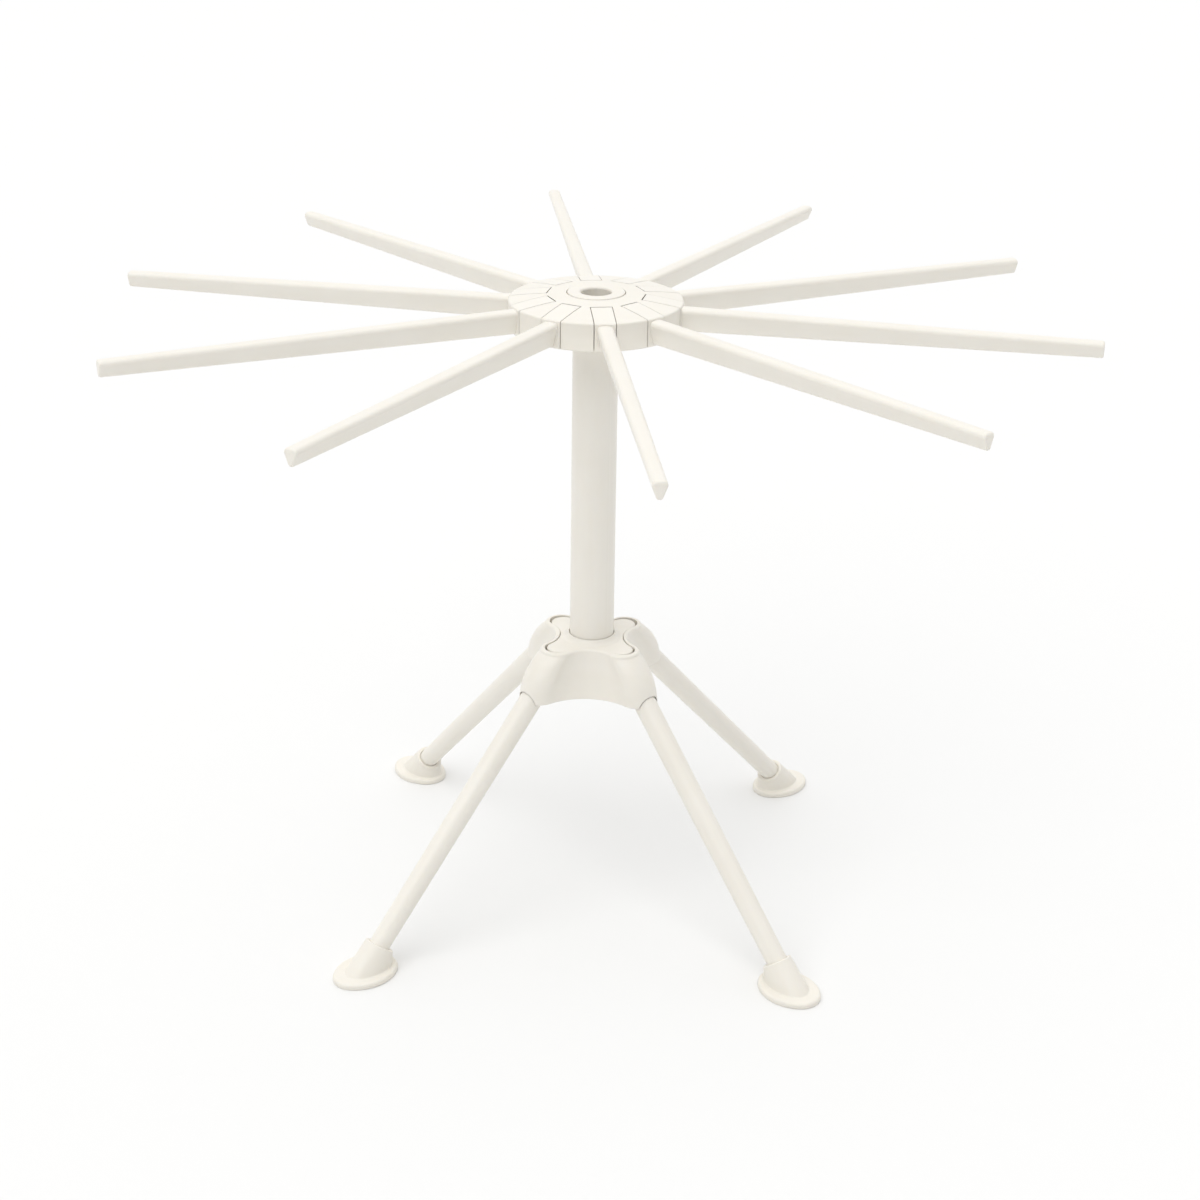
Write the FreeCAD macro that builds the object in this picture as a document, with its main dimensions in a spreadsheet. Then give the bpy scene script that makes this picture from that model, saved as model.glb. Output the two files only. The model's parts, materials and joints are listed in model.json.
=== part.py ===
import FreeCAD, Part
import math
import os
import re
from dataclasses import dataclass

import Sketcher

# A table-top pasta drying rack: arms that fold up on a slotted hub, a tube post, and a
# four-lobed base with legs that fold in. Z is up and the origin lies on the table, on the axis.
# Lengths are millimetres, angles are degrees.

SIZES = {
    # Whole rack
    "rack_height": 280,
    "arm_reach": 210,
    "arm_count": 10,
    "leg_count": 4,
    "first_azimuth": -45,
    "cut_overrun": 2,
    # Post
    "post_diameter": 19.5,
    "post_bore": 15.5,
    "post_floor": 5,
    "post_fit": 0.05,
    # Hub body
    "hub_radius": 37,
    "hub_rim_height": 12,
    "hub_crown": 3.4,
    "hub_rim_round": 0.8,
    "hub_lip": 3,
    "slot_gap": 0.3,
    "slot_end_gap": 0.3,
    # Hub cap
    "cap_diameter": 24.5,
    "cap_flange": 2.4,
    "cap_gap": 0.35,
    "cap_edge_round": 0.5,
    "cap_sleeve_depth": 9,
    "cap_sleeve_wall": 1.25,
    "cap_lip_round": 1.1,
    # Hub retainer and its screws
    "retainer_radius": 32,
    "retainer_thickness": 2.2,
    "retainer_gap": 0.3,
    "stop_gap": 0.2,
    "hub_screw_count": 5,
    "hub_screw_circle": 14,
    "hub_screw_diameter": 2.6,
    "hub_screw_head": 4.8,
    "hub_screw_head_height": 1.4,
    "hub_screw_length": 7,
    "screw_gap": 0.15,
    "thread_fit": 0.02,
    # Arm hinge pins
    "arm_pin_reach": 26.3,
    "arm_pin_rise": 8,
    "arm_pin_diameter": 3,
    "arm_pin_length": 14.4,
    "arm_cradle_neck": 2.7,
    "pin_fit": 0.06,
    "pin_seat_fit": 0.02,
    "pin_end_gap": 0.15,
    # Arms
    "arm_root_width": 8.8,
    "arm_neck_width": 7,
    "arm_neck_height": 10.6,
    "arm_neck_keel": 1.7,
    "arm_tip_width": 5.7,
    "arm_tip_height": 7,
    "arm_tip_keel": 1.4,
    "arm_crown_radius": 10,
    "arm_edge_round": 1.7,
    "arm_tip_round": 0.9,
    "arm_root_overlap": 3,
    # Base housing
    "base_height": 20.9,
    "base_rim_round": 1.3,
    "belly_rise": 5.5,
    "lobe_reach_top": 27.8,
    "lobe_reach_belly": 38.6,
    "lobe_reach_bottom": 39.4,
    "lobe_round_top": 7.6,
    "lobe_round_belly": 8.3,
    "lobe_round_bottom": 8.4,
    "waist_top": 16.2,
    "waist_belly": 20.4,
    "waist_bottom": 22,
    "post_seat_floor": 6,
    "channel_inner_radius": 12.6,
    "channel_wall": 2.2,
    "leg_gap": 0.4,
    # Base cover
    "cover_recess": 2.6,
    "cover_wall": 2,
    "cover_gap": 0.2,
    "cover_end_gap": 1.1,
    "cover_thickness": 2.4,
    "cover_edge_round": 0.5,
    "cover_post_gap": 0.3,
    "collar_reach": 13.2,
    "collar_rise": 2.2,
    "collar_wall": 0.4,
    "collar_flare": 4,
    "peg_circle": 12.2,
    "peg_diameter": 2,
    "peg_length": 7,
    # Post screw
    "post_screw_diameter": 4,
    "post_screw_length": 7.5,
    "post_screw_head": 8,
    "post_screw_head_height": 2.4,
    # Legs and their hinge pins
    "leg_splay": 43.5,
    "leg_length": 145.8,
    "leg_end_height": 7,
    "leg_top_diameter": 10.2,
    "leg_end_diameter": 9,
    "leg_pin_reach": 23.9,
    "leg_pin_rise": 12.4,
    "leg_pin_diameter": 4,
    "leg_pin_length": 13,
    "leg_cradle_neck": 3.6,
    # Feet
    "foot_offset": 3.7,
    "pad_length": 30,
    "pad_width": 23,
    "pad_end_radius": 9,
    "pad_thickness": 2.6,
    "pad_edge_round": 1.2,
    "pad_sole_round": 0.5,
    "bell_offset": 1.95,
    "bell_length": 22.5,
    "bell_width": 15,
    "bell_end_radius": 6,
    "bell_foot_round": 0.7,
    "socket_depth": 5.9,
    "socket_mouth": 12.6,
    "mouth_tilt": 36.5,
    "mouth_edge_round": 0.5,
    "socket_fit": 0.08,
}

LEFT = 1
RIGHT = -1
ORIGIN = FreeCAD.Vector(0, 0, 0)
UP = FreeCAD.Vector(0, 0, 1)
ACROSS = FreeCAD.Vector(0, 1, 0)
FULL_TURN = 360

# Places worked out from the sizes
RIM_BOTTOM = "(rack_height - hub_crown - hub_rim_height)"
RETAINER_TOP = f"({RIM_BOTTOM} + retainer_thickness)"
CAP_SEAT = "(rack_height - cap_flange)"
POST_TOP = f"({CAP_SEAT} - hub_lip)"
SLEEVE_RADIUS = "(post_bore / 2 - post_fit)"
DOME_RADIUS = "((hub_radius ^ 2 + hub_crown ^ 2) / (2 * hub_crown))"
ARM_PIN_Z = f"({RIM_BOTTOM} + arm_pin_rise)"
KNUCKLE = "(arm_pin_rise - retainer_thickness - stop_gap)"
LEG_PIN_Z = "(leg_end_height + leg_length * cos(leg_splay))"
LEG_END_REACH = "(leg_pin_reach + leg_length * sin(leg_splay))"
FOOT_REACH = f"({LEG_END_REACH} + foot_offset)"
BELL_REACH = f"({LEG_END_REACH} + bell_offset)"
MOUTH_REACH = f"({LEG_END_REACH} - socket_depth * sin(leg_splay))"
MOUTH_HEIGHT = "(leg_end_height + socket_depth * cos(leg_splay))"
BASE_BOTTOM = f"({LEG_PIN_Z} - leg_pin_rise)"
BASE_TOP = f"({BASE_BOTTOM} + base_height)"
COVER_SEAT = f"({BASE_TOP} - cover_recess)"
POST_BOTTOM = f"({BASE_BOTTOM} + post_seat_floor)"
CHANNEL_WIDTH = "(leg_top_diameter + 2 * leg_gap)"

doc = FreeCAD.newDocument("pasta_drying_rack")
sheet = doc.addObject("Spreadsheet::Sheet", "Sizes")
for row, (size_name, size) in enumerate(SIZES.items(), start=1):
    sheet.set(f"A{row}", size_name)
    sheet.set(f"B{row}", str(size))
    sheet.setAlias(f"B{row}", size_name)
doc.recompute()

sub_parts = []


# Expressions and sketches

@dataclass
class Arc:
    """An edge of an outline: its radius, the way it turns and, where it is fixed, its centre."""

    radius: str
    turn: int = LEFT
    centre: tuple = None


def bound(text):
    """Leads each size's name in an expression with the sheet's name."""
    return re.sub(r"[a-z]\w*", lambda word: f"Sizes.{word[0]}" if word[0] in SIZES else word[0], text)


def number(text):
    """Works out an expression, or passes a plain first guess through."""
    return float(sheet.evalExpression(text)) if isinstance(text, str) else text


def bind(sketch, kind, *where, text):
    """Adds a dimension to a sketch and binds it to an expression."""
    index = sketch.addConstraint(Sketcher.Constraint(kind, *where, number(text)))
    sketch.setExpression(f"Constraints[{index}]", bound(text))


def fix_point(sketch, edge, end, x, y):
    """Holds one end (or the centre) of an edge at two expressions. A plain number is left free."""
    for kind, axis, text in (("DistanceX", -2, x), ("DistanceY", -1, y)):
        if text == "0":
            sketch.addConstraint(Sketcher.Constraint("PointOnObject", edge, end, axis))
        elif isinstance(text, str):
            bind(sketch, kind, -1, 1, edge, end, text=text)


def add_arc(sketch, start, finish, arc):
    """Draws an arc between two points and returns its index with its first and last end."""
    radius = number(arc.radius)
    if arc.centre:
        centre = FreeCAD.Vector(number(arc.centre[0]), number(arc.centre[1]), 0)
    else:
        chord = finish - start
        half = chord.Length / 2
        sideways = FreeCAD.Vector(-chord.y, chord.x, 0).normalize()
        centre = (start + finish) / 2 + sideways * arc.turn * math.sqrt(max(radius ** 2 - half ** 2, 0))
    ends = [math.atan2(point.y - centre.y, point.x - centre.x) for point in (start, finish)]
    if arc.turn == RIGHT:
        ends.reverse()
    edge = sketch.addGeometry(Part.ArcOfCircle(Part.Circle(centre, UP, radius), *ends))
    bind(sketch, "Radius", edge, text=arc.radius)
    if arc.centre:
        fix_point(sketch, edge, 3, *arc.centre)
    return (edge, 1, 2) if arc.turn == LEFT else (edge, 2, 1)


def outline(sketch, corners, arcs=None):
    """Draws a closed outline.

    A corner given by two expressions is held there. A corner given by two numbers is a first
    guess, where the edges meet smoothly. The arcs are listed by the index of their first corner.
    """
    arcs = arcs or {}
    points = [FreeCAD.Vector(number(x), number(y), 0) for x, y in corners]
    edges = []
    for index, start in enumerate(points):
        finish = points[(index + 1) % len(points)]
        if index in arcs:
            edges.append(add_arc(sketch, start, finish, arcs[index]))
        else:
            edges.append((sketch.addGeometry(Part.LineSegment(start, finish)), 1, 2))
    for index, (edge, first, _) in enumerate(edges):
        before, _, last = edges[index - 1]
        held = isinstance(corners[index][0], str)
        joint = "Coincident" if held else "Tangent"
        sketch.addConstraint(Sketcher.Constraint(joint, before, last, edge, first))
        if held:
            fix_point(sketch, edge, first, *corners[index])


def circle(sketch, x, y, radius):
    """Draws a circle whose centre and radius are bound to expressions."""
    edge = sketch.addGeometry(Part.Circle(FreeCAD.Vector(number(x), number(y), 0), UP, number(radius)))
    bind(sketch, "Radius", edge, text=radius)
    if x == "0" and y == "0":
        sketch.addConstraint(Sketcher.Constraint("Coincident", edge, 3, -1, 1))
    else:
        fix_point(sketch, edge, 3, x, y)


def side_round(reach, lobe_round, waist):
    """The radius of the hollow side that meets two neighbouring lobes smoothly."""
    centre = f"({reach} - {lobe_round})"
    top = f"({centre} ^ 2 - sqrt(2) * {centre} * {waist} + {waist} ^ 2 - {lobe_round} ^ 2)"
    return f"({top} / (sqrt(2) * {centre} + 2 * {lobe_round} - 2 * {waist}))"


def four_lobes(sketch, reach, lobe_round, waist, inset="0"):
    """Draws four round lobes on the axes, joined by hollow sides, all set in by an inset."""
    centre = f"({reach} - {lobe_round})"
    hollow = side_round(reach, lobe_round, waist)
    lobe = Arc(f"{lobe_round} - {inset}")
    side = Arc(f"{hollow} + {inset}", RIGHT)
    from_lobe = FreeCAD.Vector(1, 1, 0) * ((number(waist) + number(hollow)) / math.sqrt(2))
    from_lobe = (from_lobe - FreeCAD.Vector(number(centre), 0, 0)).normalize()
    spread = FreeCAD.Vector(number(centre), 0, 0) + from_lobe * number(lobe.radius)
    places = [(centre, "0"), ("0", centre), (f"-{centre}", "0"), ("0", f"-{centre}")]
    corners = []
    arcs = {}
    for quarter, place in enumerate(places):
        turn = FreeCAD.Rotation(UP, quarter * FULL_TURN / len(places))
        for side_of_lobe in (RIGHT, LEFT):
            point = turn.multVec(FreeCAD.Vector(spread.x, side_of_lobe * spread.y, 0))
            corners.append((point.x, point.y))
        arcs[2 * quarter] = Arc(lobe.radius, LEFT, place)
        arcs[2 * quarter + 1] = side
    outline(sketch, corners, arcs)


def oval(sketch, x, length, width, end_radius):
    """Draws an oval of four arcs that meet smoothly, centred at x on the sketch's first axis."""
    half_run = f"({length} / 2 - {end_radius})"
    top = f"({half_run} ^ 2 + ({width} / 2) ^ 2 - {end_radius} ^ 2)"
    side = f"({top} / ({width} - 2 * {end_radius}))"
    drop = number(side) - number(width) / 2
    lean = FreeCAD.Vector(number(half_run), drop, 0).normalize() * number(side)
    middle = number(x)
    corners = [(middle + lean.x, drop - lean.y), (middle + lean.x, lean.y - drop),
               (middle - lean.x, lean.y - drop), (middle - lean.x, drop - lean.y)]
    far_end = Arc(end_radius, LEFT, (f"{x} + {half_run}", "0"))
    near_end = Arc(end_radius, LEFT, (f"{x} - {half_run}", "0"))
    outline(sketch, corners, {0: far_end, 1: Arc(side), 2: near_end, 3: Arc(side)})


def quartered_circle(sketch, radius):
    """Draws a circle about the sketch's origin as four arcs, to be lofted with an oval."""
    side = f"({radius} / sqrt(2))"
    corners = [(side, f"-{side}"), (side, side), (f"-{side}", side), (f"-{side}", f"-{side}")]
    outline(sketch, corners, dict.fromkeys(range(len(corners)), Arc(radius)))


def shield(sketch, middle, width, height, keel):
    """Draws an arm's section: a low crown, round corners and flanks that close in to a keel."""
    crown = Arc("arm_crown_radius", LEFT, ("0", f"{middle} + {height} / 2 - arm_crown_radius"))
    low = Arc(keel, LEFT, ("0", f"{middle} - {height} / 2 + {keel}"))
    corner_x = f"({width} / 2 - arm_edge_round)"
    edge_round = number("arm_edge_round")
    crown_middle = FreeCAD.Vector(0, number(crown.centre[1]), 0)
    low_middle = FreeCAD.Vector(0, number(low.centre[1]), 0)
    rise = math.sqrt((number(crown.radius) - edge_round) ** 2 - number(corner_x) ** 2)
    corner = crown_middle + FreeCAD.Vector(number(corner_x), rise, 0)
    brow = crown_middle + (corner - crown_middle).normalize() * number(crown.radius)
    flank = corner - low_middle
    lean = (number(keel) - edge_round) / flank.Length
    flank.normalize()
    across = flank * lean + FreeCAD.Vector(flank.y, -flank.x, 0) * math.sqrt(1 - lean ** 2)
    upper = corner + across * edge_round
    lower = low_middle + across * number(keel)
    left = Arc("arm_edge_round", LEFT, (f"-{corner_x}", corner.y))
    right = Arc("arm_edge_round", LEFT, (corner_x, corner.y))
    corners = [(brow.x, brow.y), (-brow.x, brow.y), (-upper.x, upper.y), (-lower.x, lower.y),
               (lower.x, lower.y), (upper.x, upper.y)]
    outline(sketch, corners, {0: crown, 1: left, 3: low, 5: right})


# Bodies and features

def new_body(label):
    """Starts a sub-part as a body of its own."""
    body = doc.addObject("PartDesign::Body", label)
    body.Label = label
    sub_parts.append(body)
    return body


def origin_feature(body, role):
    """Finds one of a body's own origin planes or axes."""
    return next(item for item in body.Origin.OriginFeatures if item.Role == role)


def new_sketch(body, name, plane, lift="0"):
    """Attaches a sketch to one of the body's planes, lifted along that plane's normal."""
    sketch = body.newObject("Sketcher::SketchObject", f"{body.Label}_{name}")
    sketch.AttachmentSupport = [(origin_feature(body, plane), "")]
    sketch.MapMode = "FlatFace"
    sketch.setExpression("AttachmentOffset.Base.z", bound(lift))
    return sketch


def tilt_sketch(sketch, axis, angle, **places):
    """Turns an attached sketch about one of its own axes and moves its origin."""
    sketch.AttachmentOffset = FreeCAD.Placement(ORIGIN, FreeCAD.Rotation(axis, number(angle)))
    sketch.setExpression("AttachmentOffset.Rotation.Angle", f"({bound(angle)}) * 1 deg")
    for direction, text in places.items():
        sketch.setExpression(f"AttachmentOffset.Base.{direction}", bound(text))


def add_feature(body, kind, sketch, length=None, symmetric=False, reverse=False):
    """Adds a pad, pocket, revolution or groove made from a sketch."""
    feature = body.newObject(f"PartDesign::{kind}", f"{sketch.Label}_{kind.lower()}")
    feature.Profile = sketch
    if kind in ("Revolution", "Groove"):
        feature.ReferenceAxis = (sketch, ["V_Axis"])
        feature.Angle = FULL_TURN
    if length:
        feature.setExpression("Length", bound(length))
    if symmetric:
        feature.SideType = "Symmetric"
    feature.Reversed = reverse
    doc.recompute()
    return feature


def add_loft(body, first, *others):
    """Adds a loft from one sketch through the others."""
    loft = body.newObject("PartDesign::AdditiveLoft", f"{first.Label}_loft")
    loft.Profile = first
    loft.Sections = list(others)
    doc.recompute()


def repeat_round(body, features, count):
    """Repeats features evenly round the body's upright axis."""
    pattern = body.newObject("PartDesign::PolarPattern", f"{features[0].Label}_round")
    pattern.Originals = features
    pattern.Axis = (origin_feature(body, "Z_Axis"), [""])
    pattern.Angle = FULL_TURN
    pattern.setExpression("Occurrences", bound(count))
    body.Tip = pattern
    doc.recompute()


def round_edges(body, name, radius, wanted):
    """Fillets the edges of the body's tip for which the test holds."""
    base = body.Tip
    names = [f"Edge{index}" for index, edge in enumerate(base.Shape.Edges, start=1) if wanted(edge)]
    fillet = body.newObject("PartDesign::Fillet", f"{body.Label}_{name}")
    fillet.Base = (base, names)
    fillet.setExpression("Radius", bound(radius))
    doc.recompute()


def lies_at_height(edge, height):
    """Tells whether an edge lies wholly at one height."""
    box = edge.BoundBox
    return max(abs(box.ZMin - height), abs(box.ZMax - height)) < Part.Precision.approximation()


def place_round(body, azimuth=0, reach="0", height="0", tilt="0"):
    """Turns a body to an azimuth and moves it out along that azimuth."""
    turn = FreeCAD.Rotation(UP, number("first_azimuth") + azimuth)
    centre = turn.multVec(FreeCAD.Vector(number(reach), 0, number(height)))
    body.Placement = FreeCAD.Placement(centre, turn * FreeCAD.Rotation(ACROSS, number(tilt)))


def revolve(label, corners, arcs=None):
    """Makes a sub-part by turning a half section about the upright axis."""
    body = new_body(label)
    sketch = new_sketch(body, "section", "XZ_Plane")
    outline(sketch, corners, arcs)
    add_feature(body, "Revolution", sketch)
    return body


def keyhole(sketch, x, z, radius, neck, foot):
    """Draws a pin's cradle: a round seat with a narrower neck that opens at the foot."""
    half_neck = f"{neck} / 2"
    shoulder = f"{z} - sqrt(({radius}) ^ 2 - ({half_neck}) ^ 2)"
    left = f"{x} - {half_neck}"
    right = f"{x} + {half_neck}"
    corners = [(left, foot), (right, foot), (right, shoulder), (x, f"{z} + {radius}"), (left, shoulder)]
    outline(sketch, corners, {2: Arc(radius), 3: Arc(radius)})


def dome_height(radius):
    """The height of the hub's domed top at a radius."""
    return f"(rack_height - {DOME_RADIUS} + sqrt({DOME_RADIUS} ^ 2 - ({radius}) ^ 2))"


def heel_rise():
    """How far an arm's heel stands above its pin, flush with the domed top."""
    return f"({dome_height(f'arm_pin_reach - {KNUCKLE}')} - {ARM_PIN_Z})"


# Post and its screw

def make_post():
    """The tube post, with a floor that the post screw bites into."""
    pilot = "(post_screw_diameter / 2 + thread_fit)"
    floor = f"{POST_BOTTOM} + post_floor"
    body = revolve("post", [
        (pilot, POST_BOTTOM), ("post_diameter / 2", POST_BOTTOM), ("post_diameter / 2", POST_TOP),
        ("post_bore / 2", POST_TOP), ("post_bore / 2", floor), (pilot, floor)])
    place_round(body)


def make_post_screw():
    """The screw that draws the post down into the base, its head up inside the base's floor."""
    seat = f"{POST_BOTTOM} - post_seat_floor / 2"
    head = f"{seat} - post_screw_head_height"
    tip = f"{seat} + post_screw_length"
    shank = "post_screw_diameter / 2"
    body = revolve("post_screw", [
        ("0", head), ("post_screw_head / 2", head), ("post_screw_head / 2", seat), (shank, seat),
        (shank, tip), ("0", tip)])
    place_round(body)


# Hub

def make_hub_body():
    """The domed hub: ten open slots for the arms, with a cradle for each hinge pin."""
    socket = "(post_diameter / 2 + post_fit)"
    recess = "(retainer_radius + retainer_gap)"
    cap_well = "(cap_diameter / 2 + cap_gap)"
    sleeve_hole = f"({SLEEVE_RADIUS} + post_fit)"
    rim_top = f"{RIM_BOTTOM} + hub_rim_height - hub_rim_round"
    shoulder = "(hub_radius - hub_rim_round)"
    body = revolve("hub_body", [
        (socket, RETAINER_TOP), (recess, RETAINER_TOP), (recess, RIM_BOTTOM), (shoulder, RIM_BOTTOM),
        ("hub_radius", f"{RIM_BOTTOM} + hub_rim_round"), ("hub_radius", rim_top),
        (shoulder, dome_height(shoulder)), (cap_well, dome_height(cap_well)), (cap_well, CAP_SEAT),
        (sleeve_hole, CAP_SEAT), (sleeve_hole, POST_TOP), (socket, POST_TOP)],
        {3: Arc("hub_rim_round"), 5: Arc("hub_rim_round"), 6: Arc(DOME_RADIUS)})
    slot = new_sketch(body, "slot", "XY_Plane", "rack_height")
    half = "(arm_root_width / 2 + slot_gap)"
    end = "hub_radius + cut_overrun"
    outline(slot, [("arm_pin_reach", f"-{half}"), (end, f"-{half}"), (end, half), ("arm_pin_reach", half)])
    slot_cut = add_feature(body, "Pocket", slot, "hub_crown + hub_rim_height + cut_overrun")
    heel = new_sketch(body, "slot_end", "XZ_Plane")
    circle(heel, "arm_pin_reach", ARM_PIN_Z, f"sqrt({KNUCKLE} ^ 2 + {heel_rise()} ^ 2) + slot_end_gap")
    heel_cut = add_feature(body, "Pocket", heel, f"2 * {half}", symmetric=True)
    cradle = new_sketch(body, "cradle", "XZ_Plane")
    keyhole(cradle, "arm_pin_reach", ARM_PIN_Z, "(arm_pin_diameter / 2 + pin_seat_fit)",
            "arm_cradle_neck", f"{RIM_BOTTOM} - cut_overrun")
    cradle_cut = add_feature(body, "Pocket", cradle, "arm_pin_length + 2 * pin_end_gap", symmetric=True)
    repeat_round(body, [slot_cut, heel_cut, cradle_cut], "arm_count")
    pilot = new_sketch(body, "pilot", "XY_Plane", RETAINER_TOP)
    circle(pilot, "hub_screw_circle", "0", "hub_screw_diameter / 2 + thread_fit")
    depth = "hub_screw_length - retainer_thickness + pin_end_gap"
    repeat_round(body, [add_feature(body, "Pocket", pilot, depth, reverse=True)], "hub_screw_count")
    place_round(body)


def screw_section(gap):
    """Half the section of a countersunk hub screw, about its own axis, widened by a gap."""
    head = f"hub_screw_head / 2 + {gap}"
    shank = f"hub_screw_diameter / 2 + {gap}"
    neck = f"{RIM_BOTTOM} + hub_screw_head_height"
    tip = f"{RIM_BOTTOM} + hub_screw_length"
    return [("0", RIM_BOTTOM), (head, RIM_BOTTOM), (shank, neck), (shank, tip), ("0", tip)]


def make_hub_retainer():
    """The plate let into the hub's underside: it shuts the cradles and the arms rest on it."""
    bore = "(post_diameter / 2 + retainer_gap)"
    body = revolve("hub_retainer", [
        (bore, RIM_BOTTOM), ("retainer_radius", RIM_BOTTOM), ("retainer_radius", RETAINER_TOP),
        (bore, RETAINER_TOP)])
    hole = new_sketch(body, "screw_hole", "XZ_Plane")
    tilt_sketch(hole, UP, "0", x="hub_screw_circle")
    outline(hole, screw_section("screw_gap"))
    repeat_round(body, [add_feature(body, "Groove", hole)], "hub_screw_count")
    place_round(body)


def make_hub_screws():
    """The countersunk screws that hold the retainer."""
    body = new_body("hub_screws")
    section = new_sketch(body, "section", "XZ_Plane")
    tilt_sketch(section, UP, "0", x="hub_screw_circle")
    outline(section, screw_section("0"))
    repeat_round(body, [add_feature(body, "Revolution", section)], "hub_screw_count")
    place_round(body)


def make_hub_cap():
    """The flanged ring that closes the hub and presses into the post's bore."""
    bore = f"({SLEEVE_RADIUS} - cap_sleeve_wall)"
    foot = f"{CAP_SEAT} - cap_sleeve_depth"
    edge = "cap_diameter / 2"
    body = revolve("hub_cap", [
        (bore, foot), (SLEEVE_RADIUS, foot), (SLEEVE_RADIUS, CAP_SEAT), (edge, CAP_SEAT),
        (edge, "rack_height - cap_edge_round"), (f"{edge} - cap_edge_round", "rack_height"),
        (f"{bore} + cap_lip_round", "rack_height"), (bore, "rack_height - cap_lip_round")],
        {4: Arc("cap_edge_round"), 6: Arc("cap_lip_round")})
    place_round(body)


def make_pins(label, reach, height, diameter, length, count):
    """A ring of hinge pins, each lying across its own radius."""
    body = new_body(label)
    sketch = new_sketch(body, "end", "XZ_Plane")
    circle(sketch, reach, height, f"{diameter} / 2")
    repeat_round(body, [add_feature(body, "Pad", sketch, length, symmetric=True)], count)
    place_round(body)


# Arms

def make_arm(label, azimuth):
    """An arm about its pin: a root block flush in the hub's slot and a tapering rod with a keel."""
    body = new_body(label)
    face = "(hub_radius - arm_pin_reach)"
    step = "(retainer_radius + 2 * retainer_gap - arm_pin_reach)"
    low = "-(arm_pin_rise - slot_gap)"
    brow = f"({dome_height('hub_radius - hub_rim_round')} - {ARM_PIN_Z})"
    middle = "(hub_rim_height / 2 - arm_pin_rise)"
    root = new_sketch(body, "root", "XZ_Plane")
    outline(root, [
        ("0", f"-{KNUCKLE}"), (step, f"-{KNUCKLE}"), (step, low), (face, low),
        (face, "hub_rim_height - arm_pin_rise - hub_rim_round"), (f"{face} - hub_rim_round", brow),
        (f"-{KNUCKLE}", heel_rise()), (f"-{KNUCKLE}", "0")],
        {4: Arc("hub_rim_round"), 5: Arc(DOME_RADIUS), 7: Arc(KNUCKLE)})
    add_feature(body, "Pad", root, "arm_root_width", symmetric=True)
    neck = new_sketch(body, "neck", "YZ_Plane", f"{face} - arm_root_overlap")
    shield(neck, middle, "arm_neck_width", "arm_neck_height", "arm_neck_keel")
    tip = new_sketch(body, "tip", "YZ_Plane", "arm_reach - arm_pin_reach")
    shield(tip, middle, "arm_tip_width", "arm_tip_height", "arm_tip_keel")
    add_loft(body, neck, tip)
    eye = new_sketch(body, "eye", "XZ_Plane")
    circle(eye, "0", "0", "arm_pin_diameter / 2 + pin_fit")
    add_feature(body, "Pocket", eye, "arm_root_width + cut_overrun", symmetric=True)
    tip_x = number("arm_reach - arm_pin_reach")
    round_edges(body, "tip_round", "arm_tip_round",
                lambda edge: tip_x - edge.BoundBox.XMin < Part.Precision.approximation())
    place_round(body, azimuth, "arm_pin_reach", ARM_PIN_Z)


# Base

def make_base_housing():
    """The flared four-lobed housing: a socket for the post and a channel in each lobe for a leg."""
    body = new_body("base_housing")
    hem = new_sketch(body, "hem", "XY_Plane", BASE_BOTTOM)
    four_lobes(hem, "lobe_reach_bottom", "lobe_round_bottom", "waist_bottom")
    belly = new_sketch(body, "belly", "XY_Plane", f"{BASE_BOTTOM} + belly_rise")
    four_lobes(belly, "lobe_reach_belly", "lobe_round_belly", "waist_belly")
    steps = []
    for name, rise in (("shoulder", 0), ("bend", FULL_TURN / 8), ("rim", FULL_TURN / 4)):
        drop = f"base_rim_round * (1 - sin({rise}))"
        inset = f"(base_rim_round * (1 - cos({rise})))"
        steps.append(new_sketch(body, name, "XY_Plane", f"{BASE_TOP} - {drop}"))
        four_lobes(steps[-1], "lobe_reach_top", "lobe_round_top", "waist_top", inset)
    add_loft(body, hem, belly, steps[0])
    add_loft(body, *steps)
    recess = new_sketch(body, "recess", "XY_Plane", BASE_TOP)
    four_lobes(recess, "lobe_reach_top", "lobe_round_top", "waist_top", "cover_wall")
    add_feature(body, "Pocket", recess, "cover_recess")
    socket = new_sketch(body, "socket", "XY_Plane", BASE_TOP)
    circle(socket, "0", "0", "post_diameter / 2 + post_fit")
    add_feature(body, "Pocket", socket, "base_height - post_seat_floor")
    hole = new_sketch(body, "screw_hole", "XY_Plane", POST_BOTTOM)
    circle(hole, "0", "0", "post_screw_diameter / 2 + screw_gap")
    add_feature(body, "Pocket", hole, "post_seat_floor")
    well = new_sketch(body, "screw_well", "XY_Plane", BASE_BOTTOM)
    circle(well, "0", "0", "post_screw_head / 2 + screw_gap")
    add_feature(body, "Pocket", well, "post_seat_floor / 2", reverse=True)
    place_round(body)
    cut_leg_channels(body)
    peg_hole = new_sketch(body, "peg_hole", "XY_Plane", COVER_SEAT)
    circle(peg_hole, "peg_circle / sqrt(2)", "peg_circle / sqrt(2)", "peg_diameter / 2 + pin_seat_fit")
    repeat_round(body, [add_feature(body, "Pocket", peg_hole, "peg_length + pin_end_gap")], "leg_count")


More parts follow.
